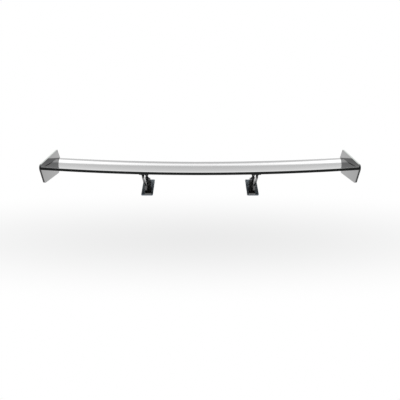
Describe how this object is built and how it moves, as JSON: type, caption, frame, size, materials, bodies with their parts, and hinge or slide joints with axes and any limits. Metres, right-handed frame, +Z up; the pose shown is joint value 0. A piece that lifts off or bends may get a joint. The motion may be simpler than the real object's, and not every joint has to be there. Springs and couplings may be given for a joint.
{
  "type": "racing rear wing",
  "caption": "Bowed rear wing with flat end plates, carried by uprights on base plates that bolt to a boot lid; the wing's angle can be set.",
  "frame": {"origin": "on the wing's middle plane, level with the underside of the gaskets, at the centre of the mounting bolt rectangle", "axes": "+X across the car along the span, +Y towards the front of the car, +Z up, square to the base plates"},
  "size_m": [1.45, 0.2697, 0.2033],
  "materials": {
    "skin": "gloss",
    "plate": "gloss",
    "rib": "matte",
    "tube": "satin",
    "black_aluminium": "satin",
    "grey_aluminium": "satin",
    "black_steel": "satin",
    "zinc_steel": "satin",
    "insert_brass": "satin",
    "gasket": "matte"
  },
  "bodies": {
    "stands": {"upright_left": "black_aluminium", "upright_right": "black_aluminium", "base_plate_left": "grey_aluminium", "base_plate_right": "grey_aluminium", "base_gasket_left": "gasket", "base_gasket_right": "gasket", "foot_screws": "black_steel", "pivot_bolts": "black_steel"},
    "wing": {"upper_skin": "skin", "lower_skin": "skin", "main_spar": "tube", "trailing_core": "rib", "mount_rib_left": "rib", "mount_rib_right": "rib", "end_rib_left": "rib", "end_rib_right": "rib", "end_plate_left": "plate", "end_plate_right": "plate", "end_plate_screws": "black_steel", "end_rib_inserts": "insert_brass", "wing_bracket_left": "black_aluminium", "wing_bracket_right": "black_aluminium", "bracket_screws": "black_steel", "mount_rib_inserts": "insert_brass", "clamp_bolts": "black_steel", "clamp_washers": "zinc_steel", "clamp_nuts": "zinc_steel"}
  },
  "joints": [
    {"name": "wing_angle", "type": "hinge", "parent": "stands", "child": "wing", "pos_m": [0, -0.10047, 0.13363], "axis": [1, 0, 0], "range_deg": [-3.5, 3.5]}
  ]
}
